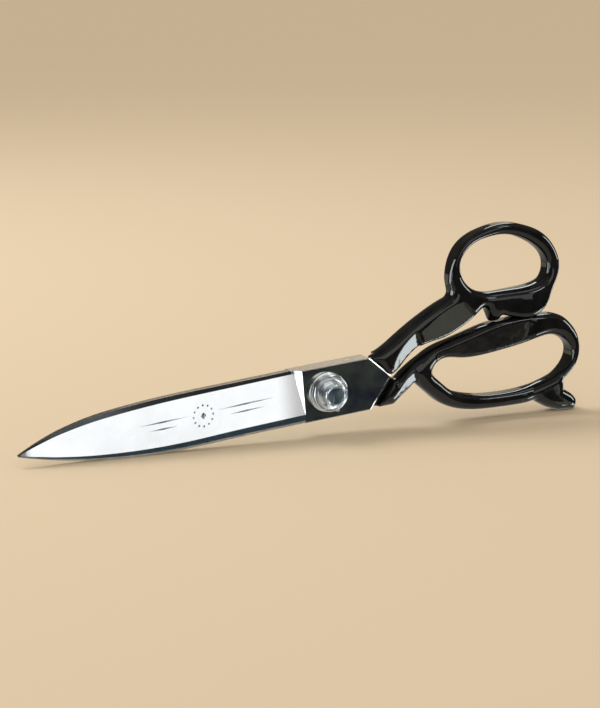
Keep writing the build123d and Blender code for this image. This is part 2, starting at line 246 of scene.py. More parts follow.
# Near-black colour: painted dark reflection on the cutting bevel, which is the blade's own steel.
BEVEL_STEEL = steel_material("bevel_steel", (0.05, 0.056, 0.064), (0.09, 0.095, 0.10),
                             0.12, 0.24, 2.0, lines_across(60.0), 0.3)
PLUNGE_STEEL = steel_material("plunge_steel", (0.55, 0.58, 0.61), (0.92, 0.93, 0.94),
                              0.14, 0.34, 1.3, lines_across(70.0), 0.6)
EDGE_STEEL = steel_material("edge_steel", (0.62, 0.61, 0.60), (0.74, 0.73, 0.71),
                            0.18, 0.3, 1.5, lines_along(100.0), 0.3)
# Slate-blue colour: painted reflection of bluish light on the band along the spine; the steel itself is not
# blue.
BAND_STEEL = steel_material("band_steel", (0.26, 0.40, 0.52), (0.40, 0.54, 0.66),
                            0.10, 0.2, 1.2, lines_along(60.0), 0.2)
# Brownish-grey colour: painted reflection of the tan paper in the spine's foot and chamfer.
FOOT_STEEL = steel_material("foot_steel", (0.30, 0.28, 0.26), (0.45, 0.42, 0.39),
                            0.2, 0.35, 1.5, lines_along(60.0), 0.3)
ETCH = steel_material("etched_mark", (0.28, 0.29, 0.32), (0.38, 0.39, 0.42), 0.45, 0.6, 3.0, EVEN, 0.3)
TURNED_STEEL = turned_material("turned_steel", (0.79, 0.81, 0.83), (0.84, 0.855, 0.87), 0.5)
BOLT_STEEL = turned_material("bolt_steel", (0.42, 0.52, 0.60), (0.50, 0.60, 0.68), 0.75)
# painted shade on the ground face towards the plunge
paint_shade_at_plunge(GROUND_STEEL)


# ---- meshes -------------------------------------------------------------------------------------------
def mesh_object(name, vertices, faces, materials, indices=None):
    """A smooth-shaded piece from points in the shears' own millimetres; indices pick each face's material."""
    mesh = bpy.data.meshes.new(name)
    mesh.from_pydata([tuple(v) for v in place(vertices)], [], [tuple(int(i) for i in f) for f in faces])
    for material in materials:
        mesh.materials.append(material)
    if indices is not None:
        mesh.polygons.foreach_set("material_index", indices)
    mesh.polygons.foreach_set("use_smooth", [True] * len(mesh.polygons))
    mesh.validate()
    mesh.update()
    piece = bpy.data.objects.new(name, mesh)
    bpy.context.scene.collection.objects.link(piece)
    return piece


def apply_modifiers(piece):
    bpy.context.view_layer.update()
    evaluated = piece.evaluated_get(bpy.context.evaluated_depsgraph_get())
    mesh = bpy.data.meshes.new_from_object(evaluated)
    piece.modifiers.clear()
    old = piece.data
    piece.data = mesh
    bpy.data.meshes.remove(old)


def face_outwards(piece):
    work = bmesh.new()
    work.from_mesh(piece.data)
    bmesh.ops.recalc_face_normals(work, faces=work.faces[:])
    work.to_mesh(piece.data)
    work.free()


# ---- handles: a rounded surface grown round the CAD handle's own outline -------------------------------
GRID = 0.3          # pitch of the outline's distance field
VOXEL = 0.85        # pitch of the surface
MARGIN = 4.0        # what the fields cover beyond the outline
HALF_REACH = 12.0   # and on each side of the meeting plane
OUTLINE_BLUR = 1.0
WIDTH_REACH, WIDTH_BLUR = 4.5, 3.0
ROUND_DEPTH = 1.25          # how deep an edge's rounding is, over how far it reaches in
ROUND_DEPTH_SHARE = 0.92    # and at most, as a share of half the depth


def slice_outline(node, offset):
    """The edges of a CAD node's section at that distance towards the front, in the side view."""
    work = bmesh.new()
    work.from_mesh(frame["nodes"][node].data)
    bmesh.ops.remove_doubles(work, verts=work.verts, dist=1e-6)
    cut = bmesh.ops.bisect_plane(work, geom=work.verts[:] + work.edges[:] + work.faces[:],
                                 plane_co=(0, PIVOT.y - offset * MM, 0), plane_no=(0, 1, 0))
    edges = [e for e in cut["geom_cut"] if isinstance(e, bmesh.types.BMEdge)]
    pairs = np.array([[(v.co.x - PIVOT.x, v.co.z) for v in e.verts] for e in edges]) / MM
    work.free()
    return pairs


def signed_distance(pairs, xs, zs):
    """Distance from every grid point to the outline, negative inside."""
    gx, gz = np.meshgrid(xs, zs, indexing="ij")
    best = np.full(gx.shape, 1e9)
    crossings = np.zeros(gx.shape, int)
    for (ax, az), (bx, bz) in pairs:
        dx, dz = bx - ax, bz - az
        t = np.clip(((gx - ax) * dx + (gz - az) * dz) / (dx * dx + dz * dz + 1e-12), 0, 1)
        np.minimum(best, (gx - ax - t * dx) ** 2 + (gz - az - t * dz) ** 2, out=best)
        if az != bz:
            spans = (az > gz) != (bz > gz)
            crossings += spans & (gx < ax + (gz - az) * dx / dz)
    return np.sqrt(best) * np.where(crossings % 2 == 1, -1.0, 1.0)


def blur(field, radius, rounds=2):
    """Box blurs along both axes, which together are close to a Gaussian."""
    width = max(1, int(round(radius / GRID)))
    kernel = np.ones(2 * width + 1) / (2 * width + 1)
    for _ in range(rounds):
        for axis in (0, 1):
            padded = np.pad(field, [(width, width) if a == axis else (0, 0) for a in (0, 1)], mode="edge")
            field = np.apply_along_axis(lambda row: np.convolve(row, kernel, mode="valid"), axis, padded)
    return field


def widest_near(field, radius):
    """The largest value within a square of that half side."""
    steps = int(round(radius / GRID))
    result = field.copy()
    for axis in (0, 1):
        widest = result.copy()
        for shift in range(1, steps + 1):
            for sign in (1, -1):
                widest = np.maximum(widest, np.roll(result, sign * shift, axis=axis))
        result = widest
    return result


class PlanField:
    """A value known on the side view's grid, read anywhere by bilinear interpolation."""

    def __init__(self, xs, zs, values):
        self.xs, self.zs, self.values = xs, zs, values

    def __call__(self, x, z):
        u = np.clip((x - self.xs[0]) / GRID, 0, len(self.xs) - 1.001)
        v = np.clip((z - self.zs[0]) / GRID, 0, len(self.zs) - 1.001)
        i, j = u.astype(int), v.astype(int)
        a, b = u - i, v - j
        f = self.values
        return ((1 - a) * (1 - b) * f[i, j] + a * (1 - b) * f[i + 1, j]
                + (1 - a) * b * f[i, j + 1] + a * b * f[i + 1, j + 1])


def surface_nets(values, origin, pitch):
    """A quad mesh of the zero surface of a field sampled on a grid, negative inside."""
    inside = values < 0
    shape = np.array(values.shape) - 1
    total = np.zeros((*shape, 3))
    count = np.zeros(shape)
    axes = ((1, 0, 0), (0, 1, 0), (0, 0, 1))
    for axis, step in enumerate(axes):
        others = [a for a in range(3) if a != axis]
        for p in (0, 1):
            for q in (0, 1):
                start = [0, 0, 0]
                start[others[0]], start[others[1]] = p, q
                low = tuple(slice(s, s + n) for s, n in zip(start, shape))
                high = tuple(slice(s + d, s + d + n) for s, d, n in zip(start, step, shape))
                a, b = values[low], values[high]
                crosses = inside[low] != inside[high]
                t = np.where(crosses, a / np.where(crosses, a - b, 1.0), 0.0)
                for other in others:
                    total[..., other] += crosses * start[other]
                total[..., axis] += crosses * t
                count += crosses
    active = count > 0
    index = np.full(shape, -1)
    index[active] = np.arange(active.sum())
    cells = np.argwhere(active)
    vertices = (cells + total[active] / count[active][:, None]) * pitch + origin
    faces = []
    for axis, step in enumerate(axes):
        u, v = [a for a in range(3) if a != axis]
        low = [slice(1, n) for n in shape]
        low[axis] = slice(0, shape[axis])
        high = list(low)
        high[axis] = slice(1, shape[axis] + 1)
        a, b = inside[tuple(low)], inside[tuple(high)]
        where = np.argwhere(a != b)
        going_out = a[a != b]
        base = where.copy()
        base[:, u] += 1
        base[:, v] += 1
        corners = []
        for du, dv in ((-1, -1), (0, -1), (0, 0), (-1, 0)):
            cell = base.copy()
            cell[:, u] += du
            cell[:, v] += dv
            corners.append(index[cell[:, 0], cell[:, 1], cell[:, 2]])
        quads = np.stack(corners, 1)
        flip = going_out if axis != 1 else ~going_out
        quads = np.where(flip[:, None], quads, quads[:, ::-1])
        faces.append(quads)
    return vertices, np.concatenate(faces)


def settle(vertices, field, rounds=5):
    """Moves vertices onto the field's zero surface along its gradient."""
    probe = 0.05
    for _ in range(rounds):
        value = field(vertices)
        slope = np.stack([field(vertices + probe * np.eye(3)[a]) - field(vertices - probe * np.eye(3)[a])
                          for a in range(3)], 1) / (2 * probe)
        length = np.maximum((slope ** 2).sum(1), 1e-3)
        step = np.clip(value / length, -0.5, 0.5)
        vertices = vertices - step[:, None] * slope
    return vertices


def relax(vertices, faces, rounds, strength):
    """Laplacian smoothing over the quads' edges."""
    edges = np.unique(np.sort(np.concatenate([faces[:, [0, 1]], faces[:, [1, 2]], faces[:, [2, 3]],
                                              faces[:, [3, 0]]]), axis=1), axis=0)
    degree = np.bincount(edges.ravel(), minlength=len(vertices)).astype(float)[:, None]
    for _ in range(rounds):
        total = np.zeros_like(vertices)
        np.add.at(total, edges[:, 0], vertices[edges[:, 1]])
        np.add.at(total, edges[:, 1], vertices[edges[:, 0]])
        vertices = vertices + strength * (total / degree - vertices)
    return vertices


def bell(x, z, centre, reach):
    """A smooth bump, 1 at the centre and near 0 beyond reach."""
    return np.exp(-((x - centre[0]) ** 2 + (z - centre[1]) ** 2) / (0.5 * reach) ** 2)


def handle_mesh(name, node, body, section_offset, thickness, roundness, swell, cutters):
    """thickness(x, z) is half the depth, roundness(x, z) how far the rounding reaches in from the edge, and
    swell(x, z) how far the outline is moved out. cutters are pairs of a field, negative in what is cut away,
    and the radius of the edge that it leaves."""
    pairs = slice_outline(node, section_offset)
    low, high = pairs.reshape(-1, 2).min(0) - MARGIN, pairs.reshape(-1, 2).max(0) + MARGIN
    xs, zs = np.arange(low[0], high[0], GRID), np.arange(low[1], high[1], GRID)
    distance = blur(signed_distance(pairs, xs, zs), OUTLINE_BLUR)
    plan = PlanField(xs, zs, distance)
    width = PlanField(xs, zs, blur(widest_near(-distance, WIDTH_REACH), WIDTH_BLUR))

    def field(points):
        x, y, z = points[..., 0], points[..., 1], points[..., 2]
        deep = thickness(x, z)
        reach = np.minimum(roundness(x, z), np.maximum(width(x, z), 1.0))
        across = np.maximum(plan(x, z) - swell(x, z) + reach, 0) / reach
        edge_deep = np.minimum(ROUND_DEPTH * reach, ROUND_DEPTH_SHARE * deep)
        through = np.maximum(np.abs(y) - deep + edge_deep, 0) / edge_deep
        value = (np.hypot(across, through) - 1.0) * reach
        for cutter, radius in cutters:
            value = smooth_max(value, -cutter(x, y, z), radius)
        return value

    grid_y = np.arange(-HALF_REACH, HALF_REACH + VOXEL, VOXEL)
    grid_x, grid_z = np.arange(low[0], high[0], VOXEL), np.arange(low[1], high[1], VOXEL)
    points = np.stack(np.meshgrid(grid_x, grid_y, grid_z, indexing="ij"), -1)
    vertices, faces = surface_nets(field(points), np.array([low[0], -HALF_REACH, low[1]]), VOXEL)
    vertices = relax(settle(vertices, field), faces, 4, 0.5)
    vertices = settle(relax(vertices, faces, 2, 0.5), field, 2)
    piece = mesh_object(name, vertices, faces, [ENAMEL])
    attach(piece, body)
    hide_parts(node)


def smooth_max(a, b, radius):
    """The larger of two fields, with the edge between them rounded."""
    mix = np.clip(0.5 + 0.5 * (a - b) / radius, 0, 1)
    return b + (a - b) * mix + radius * mix * (1 - mix)


PLATE_TOP_LEFT = (-19.5, 37.0)
PLATE_TOP_RIGHT = (25.0, 41.2)
PLATE_APEX = (38.0, 30.5)
PLATE_LOW_RIGHT = (26.0, 12.6)
PLATE_LOW_LEFT = (-12.5, 8.8)
FACE_GAP = 0.05         # between each half and the meeting plane
SHOULDER_GAP = 4.0      # how far past the plate a handle spreads over both halves
SHOULDER_RADIUS = 0.7
HALF_DEPTH = 6.7


def beyond_line(first, second, gap):
    """Signed distance past the line through two corners of the joint plate, positive towards the handles."""
    along = np.array(second) - np.array(first)
    along = along / np.hypot(*along)
    outward = np.array([-along[1], along[0]])
    if outward[0] < 0:
        outward = -outward
    return lambda x, z: (x - first[0]) * outward[0] + (z - first[1]) * outward[1] - gap


thumb_start = beyond_line(PLATE_TOP_RIGHT, PLATE_APEX, 0.0)
thumb_shoulder = beyond_line(PLATE_TOP_RIGHT, PLATE_APEX, SHOULDER_GAP)
finger_start = beyond_line(PLATE_APEX, PLATE_LOW_RIGHT, 0.0)
finger_shoulder = beyond_line(PLATE_APEX, PLATE_LOW_RIGHT, SHOULDER_GAP)


def step_up(value, width):
    """0 well below zero, 1 well above it."""
    return 1 / (1 + np.exp(-value / width))


def facet(run, tilt, half_depth, *limits):
    """Cuts both faces of a handle back at a slope of tilt degrees from where run(x, z) is 0; where a limit is
    above 0 nothing is cut."""
    slope = math.radians(tilt)

    def field(x, y, z):
        cut = -(run(x, z) * math.sin(slope) + (np.abs(y) - half_depth) * math.cos(slope))
        for limit in limits:
            cut = np.maximum(cut, limit(x, z))
        return cut
    return field


def past_line(start, towards):
    """Distance past a line through start, in the direction towards."""
    way = np.array(towards) / np.hypot(*towards)
    return lambda x, z: (x - start[0]) * way[0] + (z - start[1]) * way[1]


def inside_circle(centre, radius):
    return lambda x, z: radius - np.hypot(x - centre[0], z - centre[1])


SHANK_END = past_line((53.8, 51.0), (0.92, 0.39))
thumb_low_side = past_line((42.0, 41.0), (0.62, -0.785))
finger_low_side = past_line((44.5, 25.5), (0.66, -0.75))
thumb_ring_floor = past_line((118.0, 66.0), (0.05, -1.0))


def thumb_thickness(x, z):
    ring = step_up(x + z - 148.0, 4.0)
    flare = bell(x, z, (126.0, 62.0), 34.0)
    lug = bell(x, z, (102.0, 55.5), 7.0)
    return HALF_DEPTH - 1.0 * ring + 2.9 * flare - 2.2 * lug


def thumb_roundness(x, z):
    shank = step_up(thumb_low_side(x, z), 1.2) * step_up(128.0 - x - z, 4.0)
    floor = step_up(thumb_ring_floor(x, z), 1.2) * step_up(x - 106.0, 3.0) * step_up(138.0 - x, 4.0)
    return 4.4 - 2.4 * shank - 2.2 * floor


def finger_thickness(x, z):
    lower_bar = step_up(16.0 - z, 2.0) * (x > 60)
    tail = bell(x, z, (152.0, 3.0), 14.0)
    return HALF_DEPTH - 0.8 * lower_bar - 0.5 * tail


def finger_roundness(x, z):
    top = step_up(z - 49.0, 1.5) * step_up(x - 95.0, 4.0) * step_up(140.0 - x, 4.0)
    shank = step_up(finger_low_side(x, z), 0.8) * step_up(58.0 - x, 1.5)
    return 4.4 - 1.6 * top + 2.6 * shank


handle_mesh(
    "thumb_handle_enamel", "thumb_handle", FRONT_BODY, 1.0, thumb_thickness, thumb_roundness,
    lambda x, z: 0.5 * bell(x, z, (121.0, 57.0), 26.0),
    [(lambda x, y, z: thumb_start(x, z), SHOULDER_RADIUS),
     (lambda x, y, z: np.maximum(thumb_shoulder(x, z), -y + FACE_GAP), SHOULDER_RADIUS),
     (facet(inside_circle((80.8, 18.4), 45.2), 20.0, HALF_DEPTH,
            lambda x, z: 0.55 * SHANK_END(x, z)), 0.25),
     (facet(past_line((58.6, 55.5), (0.621, -0.784)), 8.0, HALF_DEPTH,
            lambda x, z: 2.0 - SHANK_END(x, z), lambda x, z: 0.2 * (x + z - 150.0)), 0.12)])
handle_mesh(
    "finger_handle_enamel", "finger_handle", REAR_BODY, -1.0, finger_thickness, finger_roundness,
    lambda x, z: 0.3 * bell(x, z, (121.0, 57.0), 26.0),
    [(lambda x, y, z: finger_start(x, z), SHOULDER_RADIUS),
     (lambda x, y, z: np.maximum(finger_shoulder(x, z), y + FACE_GAP), SHOULDER_RADIUS),
     (facet(inside_circle((71.0, 9.0), 31.45), 20.0, HALF_DEPTH,
            lambda x, z: 0.55 * (x + 0.5 * z - 68.5)), 0.25),
     (facet(past_line((92.1, 53.4), (0.21, -0.978)), 4.3, HALF_DEPTH, lambda x, z: 31.0 - z,
            lambda x, z: 0.3 * (66.0 - x), lambda x, z: 0.07 * (x - 126.0)), 0.12)])

# ---- blades -------------------------------------------------------------------------------------------
# The kinds of face, in the order of a blade's materials.
BACK, SPINE_FOOT, CHAMFER, BAND, GROUND, BEVEL, LAND, PLATE_FACE, PLATE_SIDE, PLATE_RIM, PLUNGE = range(11)
BLADE_MATERIALS = [GROUND_STEEL, FOOT_STEEL, FOOT_STEEL, BAND_STEEL, GROUND_STEEL, BEVEL_STEEL, GROUND_STEEL,
                   PLATE_STEEL, GROUND_STEEL, EDGE_STEEL, PLUNGE_STEEL]

# x, upper outline, lower outline, spine thickness, band along the spine, edge bevel
BLADE_STATIONS = np.array([
    (-11.0, 37.8, 8.9, 5.95, 3.2, 1.5),
    (-50.0, 33.6, 4.7, 5.6, 3.0, 1.9),
    (-80.0, 30.4, 1.4, 5.2, 2.6, 2.2),
    (-104.0, 27.2, 0.05, 4.8, 2.2, 2.4),
    (-128.0, 22.8, 0.4, 4.1, 1.6, 2.4),
    (-146.0, 17.4, 2.0, 3.3, 1.0, 1.9),
    (-158.0, 12.2, 3.7, 2.5, 0.7, 1.2),
    (-166.0, 8.0, 5.1, 1.7, 0.4, 0.6),
    (-169.0, 6.3, 5.7, 1.1, 0.08, 0.15),
])
ROW_STEPS = 12
# Shares of the spine's thickness: the chamfer along it, where the bevel starts, and the cutting edge.
CHAMFER_SHARE = 0.3
BEVEL_SHARE = 0.3
EDGE_SHARE = 0.08

PLATE_DEPTH = 6.0
PLATE_CORNERS = [PLATE_TOP_LEFT, PLATE_TOP_RIGHT, PLATE_APEX, PLATE_LOW_RIGHT, PLATE_LOW_LEFT]
EDGE_CHAMFERS = [0.3, 0.6, 0.6, 0.5, 0.1]     # width of the bright chamfer along each edge
CHAMFER_DEPTH = 0.38
PLUNGE_LINE = ((-12.7, 13.4), (-15.0, 38.0))
PLUNGE_RUN, PLUNGE_DROP, PLUNGE_STEPS = 4.0, 4.4, 6
CLEAR = 3.0             # how far a cutter stands out of what it cuts
BORE_R = 5.04
BORE_SIDES = 64
GROUND_EDGE = 0.12      # width of the break along every sharp edge
EDGE_ANGLE = 24         # degrees between two faces from which their edge is broken
FLAT_ANGLE = 20         # and from which the shading stops at it


def rounded_rows(rows, steps):
    """More rows between the given ones, on a Catmull-Rom curve through them."""
    result = [rows[0]]
    last = len(rows) - 1
    for index in range(last):
        before, start = rows[max(index - 1, 0)], rows[index]
        end, after = rows[index + 1], rows[min(index + 2, last)]
        slope_in, slope_out = (end - before) / 2, (after - start) / 2
        for step in range(1, steps + 1):
            t = step / steps
            bend = (3 * (end - start) - 2 * slope_in - slope_out) * t**2
            result.append(start + slope_in * t + bend + (2 * (start - end) + slope_in + slope_out) * t**3)
    return np.array(result)


BLADE_ROWS = rounded_rows(BLADE_STATIONS, ROW_STEPS)


def section(top, bottom, thick, band, bevel):
    """One section of a blade from the back of its spine round to its cutting edge: depth and rise."""
    width = top - bottom
    chamfer = min(CHAMFER_SHARE * thick, 0.25 * width)
    return [(FACE_GAP, 0.0), (thick * (1 - CHAMFER_SHARE), 0.0), (thick, chamfer),
            (thick, min(chamfer + band, 0.5 * width)), (BEVEL_SHARE * thick, width - bevel),
            (EDGE_SHARE * thick + FACE_GAP, width), (FACE_GAP, width)]


def side_points(points, side):
    """Turns depth from the meeting plane into y: the front half is towards -Y."""
    points = np.asarray(points, float)
    points[:, 1] *= -side
    return points


def blade_loft(side):
    """The blade itself. side is +1 for the front half and -1 for the back half, which is the other way up."""
    vertices, faces, kinds = [], [], []
    for x, top, bottom, thick, band, bevel in BLADE_ROWS:
        for depth, rise in section(top, bottom, thick, band, bevel):
            vertices.append((x, depth, bottom + rise if side > 0 else top - rise))
    strip_kinds = (SPINE_FOOT, CHAMFER, BAND, GROUND, BEVEL, LAND, BACK)
    count = len(strip_kinds)
    for row in range(len(BLADE_ROWS) - 1):
        for k in range(count):
            a, b = row * count + k, row * count + (k + 1) % count
            faces.append((a, b, b + count, a + count))
            kinds.append(strip_kinds[k])
    faces.append(tuple(range(count - 1, -1, -1)))
    faces.append(tuple(range((len(BLADE_ROWS) - 1) * count, len(BLADE_ROWS) * count)))
    kinds += [BACK, BACK]
    piece = mesh_object("loft", side_points(vertices, side), faces, BLADE_MATERIALS, kinds)
    face_outwards(piece)
    return piece


def inset_polygon(corners, widths):
    """A polygon moved inwards by a width of its own along each edge; corners run clockwise in the side view."""
    corners = np.array(corners)
    lines = []
    for index, width in enumerate(widths):
        start, end = corners[index], corners[(index + 1) % len(corners)]
        along = (end - start) / np.hypot(*(end - start))
        inward = np.array([along[1], -along[0]])
        lines.append((start + inward * width, along))
    result = []
    for index in range(len(corners)):
        (p, u), (q, w) = lines[index - 1], lines[index]
        t = np.linalg.solve(np.array([u, -w]).T, q - p)[0]
        result.append(p + t * u)
    return np.array(result)


def plate_solid(name, side):
    """The flat joint plate, with its bright chamfers. Its left end is of the same kind as the blade's band."""
    outer = np.array(PLATE_CORNERS)
    inner = inset_polygon(PLATE_CORNERS, EDGE_CHAMFERS)
    layers = [(outer, FACE_GAP), (outer, PLATE_DEPTH - CHAMFER_DEPTH), (inner, PLATE_DEPTH)]
    vertices = [(x, depth, z) for layer, depth in layers for x, z in layer]
    count = len(PLATE_CORNERS)
    faces = [tuple(range(count)), tuple(range(2 * count, 3 * count))]
    kinds = [BACK, PLATE_FACE]
    for level, kind in ((0, PLATE_SIDE), (1, PLATE_RIM)):
        for k in range(count):
            a, b = level * count + k, level * count + (k + 1) % count
            faces.append((a, b, b + count, a + count))
            kinds.append(BAND if k == count - 1 else kind)
    piece = mesh_object(name, side_points(vertices, side), faces, BLADE_MATERIALS, kinds)
    face_outwards(piece)
    return piece


def mirror_height(x, height):
    """The height's reflection in the long axis of the joint plates, at that x."""
    share = (x - PLATE_TOP_LEFT[0]) / (PLATE_TOP_RIGHT[0] - PLATE_TOP_LEFT[0])
    high = PLATE_TOP_LEFT[1] + share * (PLATE_TOP_RIGHT[1] - PLATE_TOP_LEFT[1])
    low = PLATE_LOW_LEFT[1] + share * (PLATE_LOW_RIGHT[1] - PLATE_LOW_LEFT[1])
    return high + low - height


def plunge_cutter(side):
    """What is ground away in front of the plunge; its slope is slightly hollow, as a wheel leaves it."""
    (foot_x, foot_z), (head_x, head_z) = PLUNGE_LINE
    if side < 0:
        foot_z, head_z = mirror_height(foot_x, foot_z), mirror_height(head_x, head_z)
    foot, head = np.array([foot_x, foot_z]), np.array([head_x, head_z])
    head = head + (head - foot)     # past the plate, so that its whole edge is cut
    far = -6 * PLUNGE_RUN
    profile = [(0.0, PLATE_DEPTH + CLEAR), (0.0, PLATE_DEPTH)]
    for step in range(1, PLUNGE_STEPS + 1):
        t = step / PLUNGE_STEPS
        profile.append((-PLUNGE_RUN * t, PLATE_DEPTH - PLUNGE_DROP * math.sin(t * math.pi / 2) ** 1.2))
    profile += [(far, PLATE_DEPTH - PLUNGE_DROP), (far, PLATE_DEPTH + CLEAR)]
    vertices = [(end[0] + run, depth, end[1]) for end in (foot, head) for run, depth in profile]
    count = len(profile)
    faces = [tuple(range(count)), tuple(range(2 * count - 1, count - 1, -1))]
    faces += [(k, (k + 1) % count, (k + 1) % count + count, k + count) for k in range(count)]
    piece = mesh_object("plunge_cutter", side_points(vertices, side), faces, BLADE_MATERIALS,
                        [PLUNGE] * len(faces))
    face_outwards(piece)
    return piece


def ring_points(radius, depth, count):
    angles = np.arange(count) * 2 * math.pi / count
    return [(radius * math.cos(a), -depth, PIVOT_HEIGHT + radius * math.sin(a)) for a in angles]


def bore_cutter():
    """A cylinder through both plates, for the bolt's bore."""
    count = BORE_SIDES
    vertices = ring_points(BORE_R, -2 * PLATE_DEPTH, count) + ring_points(BORE_R, 2 * PLATE_DEPTH, count)
    faces = [(k, (k + 1) % count, (k + 1) % count + count, k + count) for k in range(count)]
    faces += [tuple(range(count)), tuple(range(count, 2 * count))]
    piece = mesh_object("bore_cutter", vertices, faces, BLADE_MATERIALS, [BACK] * len(faces))
    face_outwards(piece)
    return piece


def combine(piece, other, operation):
    modifier = piece.modifiers.new("combine", "BOOLEAN")
    modifier.operation = operation
    modifier.object = other
    modifier.solver = "EXACT"
    apply_modifiers(piece)
    bpy.data.objects.remove(other)


def keep_faces_flat(piece):
    """Shades each ground face on its own: sharp where the kind of face changes, large faces leading."""
    mesh = piece.data
    mesh.polygons.foreach_set("use_smooth", [True] * len(mesh.polygons))
    mesh.set_sharp_from_angle(angle=math.radians(FLAT_ANGLE))
    work = bmesh.new()
    work.from_mesh(mesh)
    for edge in work.edges:
        if len({face.material_index for face in edge.link_faces}) > 1:
            edge.smooth = False
    work.to_mesh(mesh)
    work.free()
    weighted = piece.modifiers.new("weighted", "WEIGHTED_NORMAL")
    weighted.keep_sharp = True
    apply_modifiers(piece)


def blade(name, node, body, side):
    piece = plate_solid(name, side)
    combine(piece, plunge_cutter(side), "DIFFERENCE")
    combine(piece, blade_loft(side), "UNION")
    combine(piece, bore_cutter(), "DIFFERENCE")
    bevel = piece.modifiers.new("edges", "BEVEL")
    bevel.width = GROUND_EDGE * MM
    bevel.segments = 2
    bevel.limit_method = "ANGLE"
    bevel.angle_limit = math.radians(EDGE_ANGLE)
    apply_modifiers(piece)
    keep_faces_flat(piece)
    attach(piece, body)
    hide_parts(node)


blade("front_blade_polished", "front_blade", FRONT_BODY, +1)
blade("rear_blade_polished", "rear_blade", REAR_BODY, -1)


# ---- generic etched ornament on the ground face --------------------------------------------------------
ETCH_PROUD = 0.02
ORNAMENT_X = -70.0
PETALS = 12
RING_REACH = (5.4, 0.24)        # of the ring of petals, along x in mm and across as a share of the face
PETAL_REACH = (0.7, 0.030)
CENTRE_REACH = (1.6, 0.08)
LINE_HALF_WIDTH = 0.020
LINES = ((-62.0, -30.0, 0.56), (-56.0, -36.0, 0.40), (-78.0, -106.0, 0.56), (-84.0, -100.0, 0.40))


def ground_point(x, share, proud):
    """A point on the front blade's ground face: share 0 at the band along the spine, 1 at the edge bevel."""
    rows = BLADE_ROWS[::-1]
    top, bottom, thick, band, bevel = (np.interp(x, rows[:, 0], rows[:, k]) for k in range(1, 6))
    points = section(top, bottom, thick, band, bevel)
    low, high = points[3], points[4]
    return (x, -(low[0] + share * (high[0] - low[0]) + proud), bottom + low[1] + share * (high[1] - low[1]))


def etched(name, shapes):
    """Flat marks, each a list of (x, share) corners."""
    vertices, faces = [], []
    for corners in shapes:
        first = len(vertices)
        vertices += [ground_point(x, share, ETCH_PROUD) for x, share in corners]
        faces.append(tuple(range(first, first + len(corners))))
    piece = mesh_object(name, vertices, faces, [ETCH])
    solid = piece.modifiers.new("thickness", "SOLIDIFY")
    solid.thickness = 2 * ETCH_PROUD * MM
    solid.offset = 0
    apply_modifiers(piece)
    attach(piece, FRONT_BODY)


def diamond(x, share, reach):
    """Four corners about a centre, at reach along the face and across it."""
    return [(x + reach[0], share), (x, share + reach[1]), (x - reach[0], share), (x, share - reach[1])]


shapes = []
for petal in range(PETALS):
    angle = petal * 2 * math.pi / PETALS
    centre_x = ORNAMENT_X + RING_REACH[0] * math.cos(angle)
    centre_share = 0.5 + RING_REACH[1] * math.sin(angle)
    shapes.append([(centre_x + PETAL_REACH[0] * math.cos(angle + turn),
                    centre_share + PETAL_REACH[1] * math.sin(angle + turn))
                   for turn in (0, math.pi / 2, math.pi, 3 * math.pi / 2)])
shapes.append(diamond(ORNAMENT_X, 0.5, CENTRE_REACH))
for start, end, share in LINES:
    shapes.append(diamond((start + end) / 2, share, ((start - end) / 2, LINE_HALF_WIDTH)))
etched("etched_ornament", shapes)


# ---- pivot ---------------------------------------------------------------------------------------------
LATHE_SIDES = 160
LATHE_FLAT_ANGLE = 28       # degrees


def lathe(name, profile, material):
    """Turns a closed profile of (radius, depth towards the front) about the pivot's axis."""
    vertices, faces, rings = [], [], []
    for radius, depth in profile:
        on_axis = radius < 1e-6
        count = 1 if on_axis else LATHE_SIDES
        rings.append(range(len(vertices), len(vertices) + count))
        vertices += [(0.0, -depth, PIVOT_HEIGHT)] if on_axis else ring_points(radius, depth, count)
    for a, b in zip(rings, rings[1:] + rings[:1]):
        if len(a) == len(b) == 1:
            continue
        for k in range(LATHE_SIDES):
            n = (k + 1) % LATHE_SIDES
            if len(a) == 1:
                faces.append((a[0], b[k], b[n]))
            elif len(b) == 1:
                faces.append((a[k], b[0], a[n]))
            else:
                faces.append((a[k], b[k], b[n], a[n]))
    piece = mesh_object(name, vertices, faces, [material])
    face_outwards(piece)
    piece.data.set_sharp_from_angle(angle=math.radians(LATHE_FLAT_ANGLE))
    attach(piece, FRONT_BODY)
    return piece


def rounded_profile(corners, radii):
    """Rounds the corners of a profile: each becomes five points of a quadratic curve."""
    result = []
    count = len(corners)
    for index, (corner, radius) in enumerate(zip(corners, radii)):
        corner = np.array(corner, float)
        if radius == 0:
            result.append(tuple(corner))
            continue
        before, after = np.array(corners[index - 1], float), np.array(corners[(index + 1) % count], float)
        start = corner + (before - corner) / np.hypot(*(before - corner)) * radius
        end = corner + (after - corner) / np.hypot(*(after - corner)) * radius
        for t in (0.0, 0.25, 0.5, 0.75, 1.0):
            result.append(tuple((1 - t) ** 2 * start + 2 * t * (1 - t) * corner + t**2 * end))
    return result


